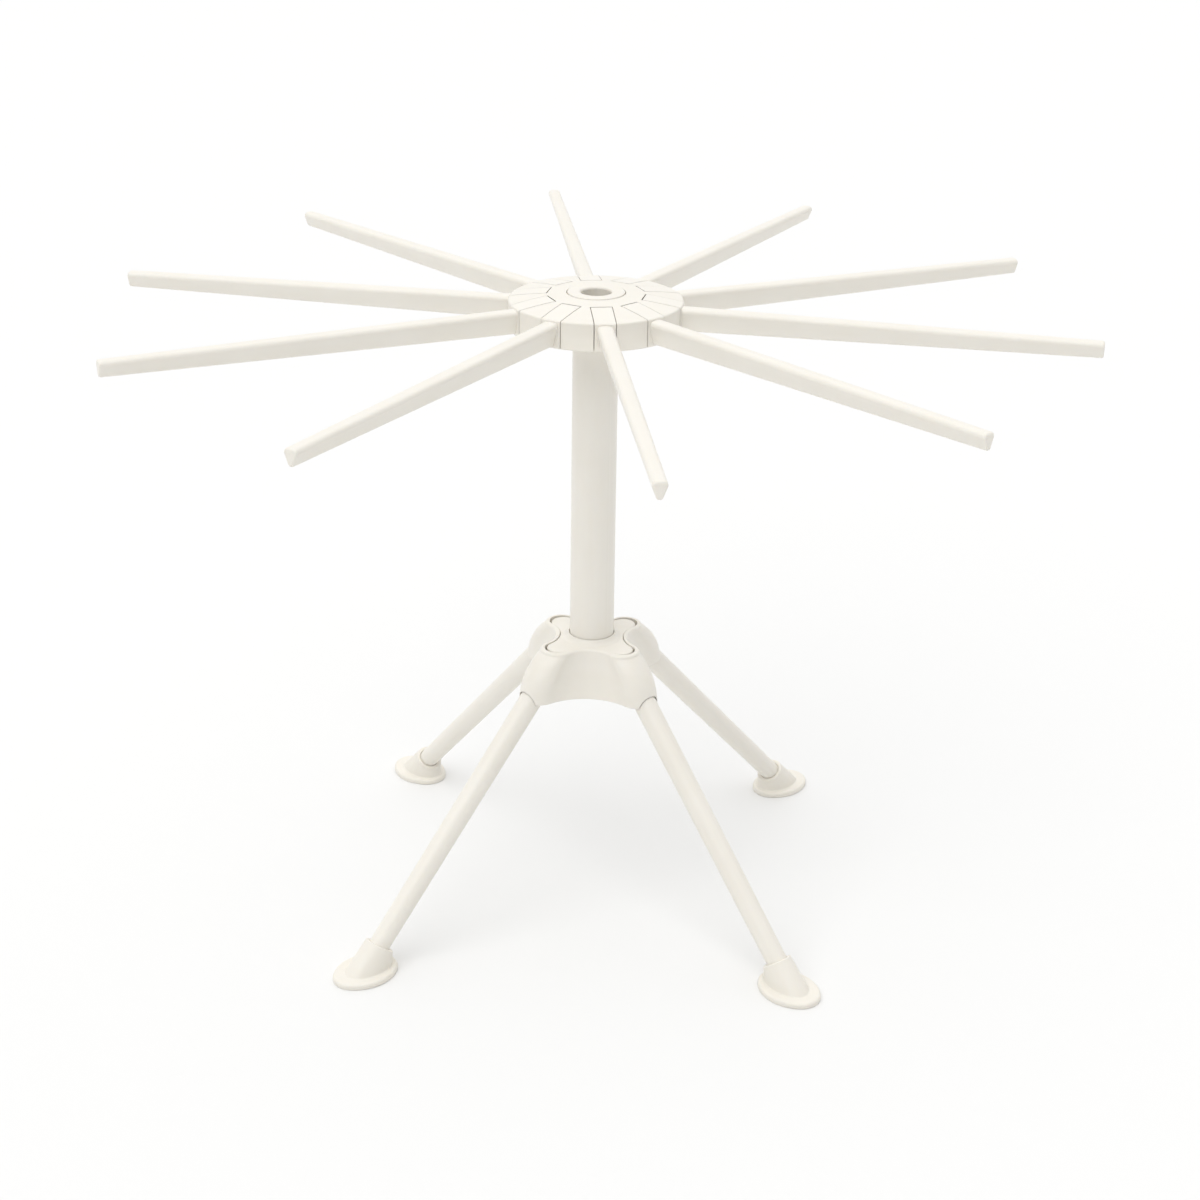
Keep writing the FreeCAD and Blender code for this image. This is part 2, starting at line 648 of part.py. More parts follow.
def cut_leg_channels(body):
    """Cuts each lobe's channel, the arched notch that stops the leg, and the leg pin's cradle."""
    below = f"{BASE_BOTTOM} - cut_overrun"
    lean = "((lobe_reach_bottom - lobe_reach_top) / base_height)"
    end_top = "(lobe_reach_top - channel_wall)"
    channel = new_sketch(body, "channel", "XZ_Plane")
    outline(channel, [
        ("channel_inner_radius", below), (f"{end_top} + {lean} * (base_height + cut_overrun)", below),
        (f"{end_top} + {lean} * cover_recess", COVER_SEAT), ("channel_inner_radius", COVER_SEAT)])
    channel_cut = add_feature(body, "Pocket", channel, CHANNEL_WIDTH, symmetric=True)
    arch = new_sketch(body, "arch", "XY_Plane")
    tilt_sketch(arch, ACROSS, "-leg_splay", x="leg_pin_reach", z=LEG_PIN_Z)
    circle(arch, "0", "0", f"{CHANNEL_WIDTH} / 2")
    arch_cut = add_feature(body, "Pocket", arch, "lobe_reach_bottom")
    notch = new_sketch(body, "notch", "XZ_Plane")
    run_out = "leg_pin_reach + (leg_pin_rise + cut_overrun) * tan(leg_splay)"
    outline(notch, [("leg_pin_reach", below), (run_out, below), ("leg_pin_reach", LEG_PIN_Z)])
    notch_cut = add_feature(body, "Pocket", notch, CHANNEL_WIDTH, symmetric=True)
    cradle = new_sketch(body, "cradle", "XZ_Plane")
    keyhole(cradle, "leg_pin_reach", LEG_PIN_Z, "(leg_pin_diameter / 2 + pin_seat_fit)",
            "leg_cradle_neck", below)
    cradle_cut = add_feature(body, "Pocket", cradle, "leg_pin_length + 2 * pin_end_gap", symmetric=True)
    repeat_round(body, [channel_cut, arch_cut, notch_cut, cradle_cut], "leg_count")


def make_base_cover():
    """The four-lobed plate let into the base's top: a collar round the post, and pegs between the lobes."""
    body = new_body("base_cover")
    plate = new_sketch(body, "plate", "XY_Plane", COVER_SEAT)
    four_lobes(plate, "(lobe_reach_top - cover_end_gap)", "lobe_round_top", "waist_top",
               "(cover_wall + cover_gap)")
    add_feature(body, "Pad", plate, "cover_thickness")
    top = f"({COVER_SEAT} + cover_thickness)"
    height = number(top)
    round_edges(body, "edge_round", "cover_edge_round", lambda edge: lies_at_height(edge, height))
    bore_radius = "(post_diameter / 2 + cover_post_gap)"
    collar = new_sketch(body, "collar", "XZ_Plane")
    outline(collar, [
        ("0", COVER_SEAT), ("collar_reach", COVER_SEAT), ("collar_reach", top),
        (f"{bore_radius} + collar_wall", f"{top} + collar_rise"), ("0", f"{top} + collar_rise")],
        {2: Arc("collar_flare", RIGHT)})
    add_feature(body, "Revolution", collar)
    bore = new_sketch(body, "bore", "XY_Plane", f"{top} + collar_rise")
    circle(bore, "0", "0", bore_radius)
    add_feature(body, "Pocket", bore, "cover_thickness + collar_rise + cut_overrun")
    peg = new_sketch(body, "peg", "XY_Plane", COVER_SEAT)
    circle(peg, "peg_circle / sqrt(2)", "peg_circle / sqrt(2)", "peg_diameter / 2")
    repeat_round(body, [add_feature(body, "Pad", peg, "peg_length", reverse=True)], "leg_count")
    place_round(body)


# Legs and feet

def make_leg(label, azimuth):
    """A leg about its pin: a slightly tapered rod with a round head and an eye for the pin."""
    head = "leg_top_diameter / 2"
    foot = "-leg_length"
    body = revolve(label, [("0", foot), ("leg_end_diameter / 2", foot), (head, "0"), ("0", head)],
                   {2: Arc(head)})
    eye = new_sketch(body, "eye", "XZ_Plane")
    circle(eye, "0", "0", "leg_pin_diameter / 2 + pin_fit")
    add_feature(body, "Pocket", eye, "leg_top_diameter + cut_overrun", symmetric=True)
    place_round(body, azimuth, "leg_pin_reach", LEG_PIN_Z, "-leg_splay")


def meets_bell(edge):
    """Tells whether the middle of an edge on a foot's pad lies on the bell's outline."""
    middle = edge.valueAt((edge.FirstParameter + edge.LastParameter) / 2)
    along = (middle.x - number(BELL_REACH)) / number("bell_length / 2")
    across = middle.y / number("bell_width / 2")
    return math.hypot(along, across) < 1 + Part.Precision.approximation()


def on_mouth(edge):
    """Tells whether an edge lies in the plane of a foot's tilted mouth."""
    tilt = math.radians(number("mouth_tilt"))
    middle = FreeCAD.Vector(number(MOUTH_REACH), 0, number(MOUTH_HEIGHT))
    normal = FreeCAD.Vector(-math.sin(tilt), 0, math.cos(tilt))
    spots = (edge.FirstParameter, (edge.FirstParameter + edge.LastParameter) / 2)
    off_plane = max(abs((edge.valueAt(spot) - middle).dot(normal)) for spot in spots)
    return off_plane < Part.Precision.approximation()


def make_foot(label, azimuth):
    """A foot: an oval pad and a bell that leans with the leg and whose bore takes the leg's end."""
    body = new_body(label)
    pad = new_sketch(body, "pad", "XY_Plane")
    oval(pad, FOOT_REACH, "pad_length", "pad_width", "pad_end_radius")
    add_feature(body, "Pad", pad, "pad_thickness")
    top = number("pad_thickness")
    round_edges(body, "pad_round", "pad_edge_round", lambda edge: lies_at_height(edge, top))
    round_edges(body, "sole_round", "pad_sole_round", lambda edge: lies_at_height(edge, 0))
    bell = new_sketch(body, "bell", "XY_Plane", "pad_thickness")
    oval(bell, BELL_REACH, "bell_length", "bell_width", "bell_end_radius")
    mouth = new_sketch(body, "mouth", "XY_Plane")
    tilt_sketch(mouth, ACROSS, "-mouth_tilt", x=MOUTH_REACH, z=MOUTH_HEIGHT)
    quartered_circle(mouth, "(socket_mouth / 2)")
    add_loft(body, bell, mouth)
    round_edges(body, "bell_round", "bell_foot_round",
                lambda edge: lies_at_height(edge, top) and meets_bell(edge))
    bore = new_sketch(body, "bore", "XZ_Plane")
    tilt_sketch(bore, UP, "leg_splay", x=LEG_END_REACH, y="leg_end_height")
    radius = "(leg_end_diameter / 2 + socket_fit)"
    top_end = "socket_depth + socket_mouth / 2"
    outline(bore, [("0", "0"), (radius, "0"), (radius, top_end), ("0", top_end)])
    add_feature(body, "Groove", bore)
    round_edges(body, "mouth_round", "mouth_edge_round", on_mouth)
    place_round(body, azimuth)


def write_parts():
    """Checks every object and shape, then writes one file for each sub-part."""
    doc.recompute()
    for item in doc.Objects:
        if {"Invalid", "Error"} & set(item.State):
            raise RuntimeError(f"{item.Label} failed: {item.State}")
    for body in sub_parts:
        if body.Shape.isNull() or not body.Shape.isValid() or not body.Shape.Solids:
            raise RuntimeError(f"{body.Label} has no valid solid")
    os.makedirs("parts", exist_ok=True)
    for body in sub_parts:
        body.Shape.exportStep(f"parts/{body.Label}.step")
        print(f"{body.Label}: {len(body.Shape.Solids)} solids, {body.Shape.Volume:.0f} mm3")


make_post()
make_post_screw()
make_hub_body()
make_hub_retainer()
make_hub_screws()
make_hub_cap()
make_pins("arm_pins", "arm_pin_reach", ARM_PIN_Z, "arm_pin_diameter", "arm_pin_length", "arm_count")
for arm in range(SIZES["arm_count"]):
    make_arm(f"arm_{arm + 1:02d}", arm * FULL_TURN / SIZES["arm_count"])
make_base_housing()
make_base_cover()
make_pins("leg_pins", "leg_pin_reach", LEG_PIN_Z, "leg_pin_diameter", "leg_pin_length", "leg_count")
for leg in range(SIZES["leg_count"]):
    make_leg(f"leg_{leg + 1}", leg * FULL_TURN / SIZES["leg_count"])
    make_foot(f"foot_{leg + 1}", leg * FULL_TURN / SIZES["leg_count"])
write_parts()
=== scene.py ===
"""Looks of a table-top pasta drying rack: moulded plastic and steel finishes, screws, light and camera."""
import json
import logging
import math
from dataclasses import dataclass, field
from enum import Enum
from typing import Any, Callable, Mapping, Optional, Sequence, Union

import bpy
from mathutils import Euler, Matrix, Vector


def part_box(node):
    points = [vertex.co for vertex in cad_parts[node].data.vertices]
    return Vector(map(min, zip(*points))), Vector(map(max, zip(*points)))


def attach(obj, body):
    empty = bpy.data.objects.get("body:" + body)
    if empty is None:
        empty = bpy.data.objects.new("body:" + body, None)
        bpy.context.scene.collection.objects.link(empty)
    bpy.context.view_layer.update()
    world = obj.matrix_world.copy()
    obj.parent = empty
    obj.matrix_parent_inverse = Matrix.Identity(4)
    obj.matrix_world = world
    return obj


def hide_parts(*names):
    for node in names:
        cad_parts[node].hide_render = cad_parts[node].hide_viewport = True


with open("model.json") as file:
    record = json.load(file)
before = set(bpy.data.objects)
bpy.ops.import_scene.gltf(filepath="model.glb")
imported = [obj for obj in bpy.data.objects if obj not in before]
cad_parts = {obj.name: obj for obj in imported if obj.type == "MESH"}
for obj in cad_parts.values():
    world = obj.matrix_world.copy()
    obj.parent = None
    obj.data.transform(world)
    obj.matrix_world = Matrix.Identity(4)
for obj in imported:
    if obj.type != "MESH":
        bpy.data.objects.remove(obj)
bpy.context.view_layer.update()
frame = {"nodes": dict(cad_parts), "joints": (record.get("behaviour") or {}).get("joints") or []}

MM = 0.001
FULL_TURN = 2 * math.pi
QUARTER_TURN = FULL_TURN / 4

log = logging.getLogger("pasta_rack")

Colour = tuple[float, float, float]
Band = tuple[float, float]
Value = Union["Signal", float]


# Shader maths

# The places of a Mix node's colour sockets, which share their names with its number sockets
MIX_FACTOR, MIX_FIRST, MIX_SECOND, MIX_RESULT = 0, 6, 7, 2

EDGE_SAMPLES = 4
MID_NOISE = 0.5


class Signal:
    """An output socket on a sheet of nodes, with arithmetic that adds Math nodes."""

    def __init__(self, sheet: "NodeSheet", socket: bpy.types.NodeSocket) -> None:
        """Wraps one output socket of a sheet."""
        self.sheet = sheet
        self.socket = socket

    def __add__(self, other: Value) -> "Signal":
        """This signal plus another."""
        return self.sheet.maths("ADD", self, other)

    __radd__ = __add__

    def __sub__(self, other: Value) -> "Signal":
        """This signal less another."""
        return self.sheet.maths("SUBTRACT", self, other)

    def __rsub__(self, other: Value) -> "Signal":
        """Another value less this signal."""
        return self.sheet.maths("SUBTRACT", other, self)

    def __mul__(self, other: Value) -> "Signal":
        """This signal times another."""
        return self.sheet.maths("MULTIPLY", self, other)

    __rmul__ = __mul__

    def __abs__(self) -> "Signal":
        """This signal without its sign."""
        return self.sheet.maths("ABSOLUTE", self)


class NodeSheet:
    """A node tree and the ways to add nodes to it."""

    def __init__(self, tree: bpy.types.NodeTree) -> None:
        """Takes over a tree and clears it."""
        self.tree = tree
        self.tree.nodes.clear()

    def node(self, kind: str, settings: Optional[Mapping[str, Any]] = None,
             sockets: Optional[Mapping[Union[str, int], Any]] = None,
             output: Union[str, int] = 0) -> Optional[Signal]:
        """Adds a node.

        Args:
            kind: The node's type.
            settings: The node's own settings, which are set first.
            sockets: Values or signals for its inputs, by name or index.
            output: The output to return, by name or index.

        Returns:
            The chosen output, or nothing where the node has none.
        """
        node = self.tree.nodes.new(kind)
        for name, value in (settings or {}).items():
            setattr(node, name, value)
        for name, value in (sockets or {}).items():
            self.feed(node.inputs[name], value)
        return Signal(self, node.outputs[output]) if node.outputs else None

    def feed(self, socket: bpy.types.NodeSocket, value: Any) -> None:
        """Links a signal to an input, or sets a plain value on it.

        Args:
            socket: The input.
            value: The signal or the plain value.
        """
        if isinstance(value, Signal):
            self.tree.links.new(value.socket, socket)
        else:
            socket.default_value = value

    def maths(self, operation: str, *values: Value) -> Signal:
        """Adds a Math node on one or two values."""
        return self.node("ShaderNodeMath", {"operation": operation}, dict(enumerate(values)))

    def vector_maths(self, operation: str, *values: Union[Signal, Vector], output: str = "Vector") -> Signal:
        """Adds a Vector Math node, whose output Value is a plain number."""
        return self.node("ShaderNodeVectorMath", {"operation": operation}, dict(enumerate(values)), output)

    def ease(self, value: Signal, start: float, end: float) -> Signal:
        """A smooth step from 0 at the start to 1 at the end."""
        return self.node("ShaderNodeMapRange", {"interpolation_type": "SMOOTHSTEP"},
                         {"Value": value, "From Min": start, "From Max": end})

    def part(self, vector: Signal, axis: str) -> Signal:
        """One coordinate of a vector, by its axis X, Y or Z."""
        return self.node("ShaderNodeSeparateXYZ", sockets={0: vector}, output=axis)


class FinishTree(NodeSheet):
    """The nodes of one material, which end in one principled shader."""

    def __init__(self, name: str, constants: Mapping[str, Any]) -> None:
        """Starts a material.

        Args:
            name: The material's name.
            constants: Values of the shader's sockets that are the same all over the surface.
        """
        self.material = bpy.data.materials.new(name)
        self.material.use_nodes = True
        super().__init__(self.material.node_tree)
        surface = self.node("ShaderNodeBsdfPrincipled", sockets=constants)
        self.shader = surface.socket.node
        self.node("ShaderNodeOutputMaterial", sockets={"Surface": surface})

    def finish(self, **sockets: Signal) -> bpy.types.Material:
        """Feeds the shader's varying sockets.

        Args:
            sockets: Signals by the socket's name, with an underscore for a space.

        Returns:
            The finished material.
        """
        for name, signal in sockets.items():
            self.feed(self.shader.inputs[name.replace("_", " ")], signal)
        return self.material

    def place(self, lie: "Lie", stretch: float = 1.0) -> Signal:
        """The surface point in a piece's own frame, in metres.

        Args:
            lie: Where the piece's own frame lies in the rack.
            stretch: How much longer a pattern is along the frame's first axis.

        Returns:
            The point as a vector.
        """
        point = self.node("ShaderNodeTexCoord", output="Object")
        return self.node("ShaderNodeMapping", {"vector_type": "TEXTURE"},
                         {"Vector": point, "Location": lie.origin, "Rotation": lie.turn,
                          "Scale": Vector((stretch, 1, 1))})

    def noise(self, place: Signal, pitch: float, detail: float = 2.0) -> Signal:
        """Smooth noise from 0 to 1 whose patches are about one pitch wide, in metres."""
        return self.node("ShaderNodeTexNoise",
                         sockets={"Vector": place, "Scale": 1 / pitch, "Detail": detail})

    def blend(self, factor: Signal, first: Colour, second: Colour) -> Signal:
        """A colour between two others."""
        return self.node("ShaderNodeMix", {"data_type": "RGBA"},
                         {MIX_FACTOR: factor, MIX_FIRST: (*first, 1), MIX_SECOND: (*second, 1)}, MIX_RESULT)

    def relief(self, height: Signal, edge_round: float) -> Signal:
        """The surface normal with a relief in metres and softened edges.

        Args:
            height: The height of the relief in metres.
            edge_round: The radius that sharp edges seem to have.

        Returns:
            The normal.
        """
        soft = self.node("ShaderNodeBevel", {"samples": EDGE_SAMPLES}, {"Radius": edge_round})
        return self.node("ShaderNodeBump", sockets={"Height": height, "Distance": 1.0, "Normal": soft})


# Finishes

@dataclass(frozen=True)
class Lie:
    """Where a piece's own frame lies in the rack."""

    origin: Vector = Vector((0, 0, 0))
    turn: Euler = Euler((0, 0, 0))


@dataclass(frozen=True)
class PartingLine:
    """The line where the halves of a mould met, as a height in a piece's own frame."""

    height: float = 0.0
    rise: float = 0.0
    width: float = 0.16 * MM
    crest_share: float = 0.25
    ridge: float = 0.035 * MM

    def relief(self, tree: FinishTree, place: Signal) -> Signal:
        """The line's ridge.

        Args:
            tree: The finish's nodes.
            place: The surface point in the piece's own frame.

        Returns:
            The height of the ridge in metres.
        """
        line = tree.part(place, "X") * self.rise + self.height
        off_line = abs(tree.part(place, "Z") - line)
        return (1 - tree.ease(off_line, self.width * self.crest_share, self.width)) * self.ridge


@dataclass(frozen=True)
class EjectorMark:
    """The shallow ring that a pin of the mould leaves on a face that looks down."""

    centre: Vector
    radius: float = 2.2 * MM
    width: float = 0.18 * MM
    depth: float = 0.05 * MM
    reach: float = 0.3 * MM
    full_share: float = 0.5

    def relief(self, tree: FinishTree, point: Signal) -> Signal:
        """The mark's groove.

        Args:
            tree: The finish's nodes.
            point: The surface point in the rack's frame.

        Returns:
            The depth of the groove in metres.
        """
        offset = tree.vector_maths("SUBTRACT", point, self.centre)
        flat = tree.vector_maths("MULTIPLY", offset, Vector((1, 1, 0)))
        off_ring = abs(tree.vector_maths("LENGTH", flat, output="Value") - self.radius)
        near_face = 1 - tree.ease(tree.part(offset, "Z"), self.reach * self.full_share, self.reach)
        return (1 - tree.ease(off_ring, 0, self.width)) * near_face * self.depth


@dataclass(frozen=True)
class MouldedPlastic:
    """Satin ivory plastic as it leaves the mould: fine grain, faint flow clouds and the mould's marks."""

    tone: Colour
    flow_tone: Colour
    roughness: float = 0.40
    roughness_swing: float = 0.12
    refraction: float = 1.49
    glow: float = 0.06
    glow_depth: float = 1.2 * MM
    glow_spread: Colour = (1.0, 0.8, 0.5)
    flow_band: Band = (0.3, 0.7)
    cloud_pitch: float = 28 * MM
    cloud_share: float = 0.6
    streaks_per_cloud: float = 6.0
    streak_length: float = 12.0
    streak_detail: float = 3.0
    rubs_per_cloud: float = 3.0
    rub_detail: float = 4.0
    grain_pitch: float = 0.55 * MM
    grain_height: float = 0.006 * MM
    grain_detail: float = 1.0
    sink_pitch: float = 14 * MM
    sink_height: float = 0.03 * MM
    sink_detail: float = 0.0
    edge_round: float = 0.25 * MM

    def material(self, name: str, lie: Lie = Lie(), parting: Optional[PartingLine] = None,
                 marks: Sequence[EjectorMark] = ()) -> bpy.types.Material:
        """Makes the plastic for one piece.

        Args:
            name: The material's name.
            lie: Where the piece's own frame lies.
            parting: Its parting line, if that shows.
            marks: Its ejector marks.

        Returns:
            The material.
        """
        tree = FinishTree(name, {"IOR": self.refraction, "Subsurface Weight": self.glow,
                                 "Subsurface Scale": self.glow_depth, "Subsurface Radius": self.glow_spread})
        place = tree.place(lie)
        along = tree.place(lie, self.streak_length)
        clouds = tree.noise(place, self.cloud_pitch)
        streaks = tree.noise(along, self.cloud_pitch / self.streaks_per_cloud, self.streak_detail)
        flow = tree.ease(clouds * self.cloud_share + streaks * (1 - self.cloud_share), *self.flow_band)
        grain = tree.noise(place, self.grain_pitch, self.grain_detail)
        sinks = tree.noise(place, self.sink_pitch, self.sink_detail)
        height = grain * self.grain_height + sinks * self.sink_height
        if parting:
            height = height + parting.relief(tree, place)
        for mark in marks:
            height = height - mark.relief(tree, tree.place(Lie()))
        rub = tree.noise(place, self.cloud_pitch / self.rubs_per_cloud, self.rub_detail)
        return tree.finish(
            Base_Color=tree.blend(flow, self.tone, self.flow_tone),
            Roughness=self.roughness + (rub - MID_NOISE) * self.roughness_swing,
            Normal=tree.relief(height, self.edge_round))


@dataclass(frozen=True)
class DrawnSteel:
    """Bright steel with fine drawing or turning lines under a thin dull film."""

    tone: Colour
    dull_tone: Colour
    roughness: float = 0.28
    line_pitch: float = 0.12 * MM
    line_length: float = 30.0
    line_height: float = 0.002 * MM
    line_roughness: float = 0.1
    film_pitch: float = 2.5 * MM
    film_detail: float = 3.0
    film_band: Band = (0.35, 0.7)
    film_roughness: float = 0.08
    edge_round: float = 0.08 * MM

    def material(self, name: str, lie: Lie = Lie()) -> bpy.types.Material:
        """Makes the steel for one piece.

        Args:
            name: The material's name.
            lie: Where the piece's own frame lies, with its first axis along the lines.

        Returns:
            The material.
        """
        tree = FinishTree(name, {"Metallic": 1.0})
        lines = tree.noise(tree.place(lie, self.line_length), self.line_pitch)
        film = tree.ease(tree.noise(tree.place(lie), self.film_pitch, self.film_detail), *self.film_band)
        return tree.finish(
            Base_Color=tree.blend(film, self.tone, self.dull_tone),
            Roughness=self.roughness + lines * self.line_roughness + film * self.film_roughness,
            Normal=tree.relief(lines * self.line_height, self.edge_round))


IVORY_SHELL = MouldedPlastic(tone=(0.849, 0.817, 0.748), flow_tone=(0.829, 0.794, 0.718))
IVORY_ROD = MouldedPlastic(tone=(0.855, 0.825, 0.758), flow_tone=(0.835, 0.801, 0.728), roughness=0.36)
IVORY_FOOT = MouldedPlastic(tone=(0.842, 0.809, 0.738), flow_tone=(0.822, 0.786, 0.708), roughness=0.44)
PIN_STEEL = DrawnSteel(tone=(0.60, 0.59, 0.57), dull_tone=(0.50, 0.49, 0.47))
SCREW_STEEL = DrawnSteel(tone=(0.66, 0.66, 0.65), dull_tone=(0.55, 0.55, 0.54), roughness=0.32)


# Places on the rack

MIDWAY = 0.5


def hinge(joint: str) -> Vector:
    """The place of a joint's pin."""
    return Vector(next(item["pos_m"] for item in frame["joints"] if item["name"] == joint))


def azimuth_of(joint: str) -> float:
    """The angle round the post at which a joint lies."""
    x, y, _ = hinge(joint)
    return math.atan2(y, x)


def around(azimuth: float, reach: float, height: float = 0.0) -> Vector:
    """The point at an angle round the post, a reach from its axis and a height."""
    return Vector((reach * math.cos(azimuth), reach * math.sin(azimuth), height))


def dress(node: str, material: bpy.types.Material) -> None:
    """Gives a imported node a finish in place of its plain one.

    Args:
        node: The node's name.
        material: Its finish.
    """
    piece = frame["nodes"][node]
    piece.data.materials.clear()
    piece.data.materials.append(material)
    log.info("dressed %s", node)


# Modelling by hand

# A face looks up or down where its normal's height is over this
FACING = 0.9

# The edge of a cube from -1 to 1, so that scaling it sets its half sizes
CUBE_EDGE = 2


def edit_faces(piece: bpy.types.Object, wanted: Callable[[bpy.types.MeshPolygon], bool]) -> None:
    """Opens a piece in edit mode with only some of its faces selected.

    Args:
        piece: The piece.
        wanted: The test that says whether a face is selected.
    """
    bpy.context.view_layer.objects.active = piece
    bpy.ops.object.mode_set(mode="EDIT")
    bpy.ops.mesh.select_mode(type="FACE")
    bpy.ops.mesh.select_all(action="DESELECT")
    bpy.ops.object.mode_set(mode="OBJECT")
    for face in piece.data.polygons:
        face.select = wanted(face)
    bpy.ops.object.mode_set(mode="EDIT")


def leave_edit() -> None:
    """Goes back to object mode."""
    bpy.ops.object.mode_set(mode="OBJECT")


def only(piece: bpy.types.Object) -> None:
    """Selects one piece alone and makes it the active one.

    Args:
        piece: The piece.
    """
    bpy.ops.object.select_all(action="DESELECT")
    piece.select_set(True)
    bpy.context.view_layer.objects.active = piece


class ScrewHead(Enum):
    """The form of a screw's head."""

    COUNTERSUNK = "countersunk"
    PAN = "pan"


@dataclass
class CrossScrew:
    """A screw with a cross recess, its head face down on the plane z = 0 and its axis along +Z."""

    head_radius: float
    head_height: float
    shank_radius: float
    length: float
    head: ScrewHead
    sides: int = 40
    rim_round: float = 0.15 * MM
    rim_steps: int = 2
    recess_span_share: float = 0.62
    recess_width_share: float = 0.17
    recess_depth_share: float = 0.62
    recess_floor_share: float = 0.6
    point_share: float = 0.25
    smooth_angle: float = math.radians(35)

    def build(self, name: str) -> bpy.types.Object:
        """Models the screw.

        Args:
            name: The piece's name.

        Returns:
            The screw, at the origin.
        """
        bpy.ops.object.select_all(action="DESELECT")
        bpy.ops.mesh.primitive_cylinder_add(vertices=self.sides, radius=self.head_radius,
                                            depth=self.head_height, location=(0, 0, self.head_height / 2))
        screw = bpy.context.object
        screw.name = name
        bpy.ops.object.transform_apply(location=True)
        self.draw_shank(screw)
        self.round_head(screw)
        self.cut_recess(screw)
        only(screw)
        bpy.ops.object.shade_smooth_by_angle(angle=self.smooth_angle)
        return screw

    def draw_shank(self, screw: bpy.types.Object) -> None:
        """Draws the neck, the shank and the point out of the head's upper face.

        Args:
            screw: The head, still a plain disc.
        """
        narrow = self.shank_radius / self.head_radius
        edit_faces(screw, lambda face: face.normal.z > FACING)
        if self.head is ScrewHead.COUNTERSUNK:
            bpy.ops.transform.resize(value=(narrow, narrow, 1))
        else:
            bpy.ops.mesh.inset(thickness=self.head_radius - self.shank_radius)
        point = self.shank_radius * 2 * self.point_share
        for rise, share in ((self.length - self.head_height - point, 1.0), (point, 1 - self.point_share)):
            bpy.ops.mesh.extrude_region_move(TRANSFORM_OT_translate={"value": (0, 0, rise)})
            bpy.ops.transform.resize(value=(share, share, 1))
        leave_edit()

    def round_head(self, screw: bpy.types.Object) -> None:
        """Bevels the rim of the head's face.

        Args:
            screw: The screw.
        """
        edit_faces(screw, lambda face: face.normal.z < -FACING)
        bpy.ops.mesh.region_to_loop()
        bpy.ops.mesh.bevel(offset=self.rim_round, segments=self.rim_steps, affect="EDGES")
        leave_edit()

    def cut_recess(self, screw: bpy.types.Object) -> None:
        """Cuts the cross into the head's face with two tapered bars.

        Args:
            screw: The screw.
        """
        half_sizes = (self.head_radius * self.recess_span_share, self.head_radius * self.recess_width_share,
                      self.head_height * self.recess_depth_share)
        for turn in (0, QUARTER_TURN):
            bpy.ops.object.select_all(action="DESELECT")
            bpy.ops.mesh.primitive_cube_add(size=CUBE_EDGE)
            bar = bpy.context.object
            edit_faces(bar, lambda face: True)
            bpy.ops.transform.resize(value=half_sizes)
            bpy.ops.transform.rotate(value=turn, orient_axis="Z", center_override=(0, 0, 0))
            leave_edit()
            edit_faces(bar, lambda face: face.normal.z > FACING)
            bpy.ops.transform.resize(value=(self.recess_floor_share, self.recess_floor_share, 1))
            leave_edit()
            only(screw)
            cut = screw.modifiers.new("recess", "BOOLEAN")
            cut.operation = "DIFFERENCE"
            cut.object = bar
            bpy.ops.object.modifier_apply(modifier=cut.name)
            bpy.data.objects.remove(bar)


# Sub-assemblies

@dataclass
class Hub:
    """The slotted hub with its cap, retainer, hinge pins and screws."""

    screw_circle: float = 14 * MM
    screw_count: int = 5
    mark_circle: float = 21 * MM
    screw: CrossScrew = field(default_factory=lambda: CrossScrew(
        head_radius=2.4 * MM, head_height=1.4 * MM, shank_radius=1.3 * MM, length=7 * MM,
        head=ScrewHead.COUNTERSUNK))

    def turn_of(self, number: float) -> float:
        """The angle round the post of a screw by its number, or of a place between two screws."""
        return azimuth_of("arm_01_fold") + FULL_TURN * number / self.screw_count

    def dress(self) -> None:
        """Gives the hub's nodes their finishes, with the mould's marks under the retainer."""
        for node in ("hub_body", "hub_cap"):
            dress(node, IVORY_SHELL.material(f"{node}_plastic"))
        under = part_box("hub_retainer")[0].z
        marks = [EjectorMark(around(self.turn_of(number + MIDWAY), self.mark_circle, under))
                 for number in range(self.screw_count)]
        dress("hub_retainer", IVORY_SHELL.material("hub_retainer_plastic", marks=marks))
        dress("arm_pins", PIN_STEEL.material("arm_pin_steel"))

    def build_screws(self) -> bpy.types.Object:
        """Models the retainer's screws once and copies them round the post.

        Returns:
            The screws as one piece.
        """
        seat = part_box("hub_screws")[0].z
        pattern = self.screw.build("hub_screw_pattern")
        copies = []
        for number in range(self.screw_count):
            turn = Matrix.Rotation(self.turn_of(number), 4, "Z")
            copy = pattern.copy()
            copy.data = pattern.data.copy()
            copy.data.transform(turn @ Matrix.Translation((self.screw_circle, 0, seat)))
            bpy.context.scene.collection.objects.link(copy)
            copies.append(copy)
        bpy.data.objects.remove(pattern)
        only(copies[0])
        for copy in copies:
            copy.select_set(True)
        bpy.ops.object.join()
        screws = bpy.context.object
        screws.name = "hub_cross_screws"
        screws.data.materials.append(SCREW_STEEL.material("hub_screw_steel"))
        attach(screws, "frame")
        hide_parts("hub_screws")
        return screws


@dataclass
class Arms:
    """The ring of arms that fold up on the hub."""

    count: int = 10
    parting: PartingLine = PartingLine(height=1.476 * MM, rise=-0.00956)

    def dress(self) -> None:
        """Gives each arm its plastic, with the flow and the parting line along it."""
        for number in range(1, self.count + 1):
            node = f"arm_{number:02d}"
            joint = f"{node}_fold"
            lie = Lie(hinge(joint), Euler((0, 0, azimuth_of(joint))))
            dress(node, IVORY_ROD.material(f"{node}_plastic", lie, self.parting))


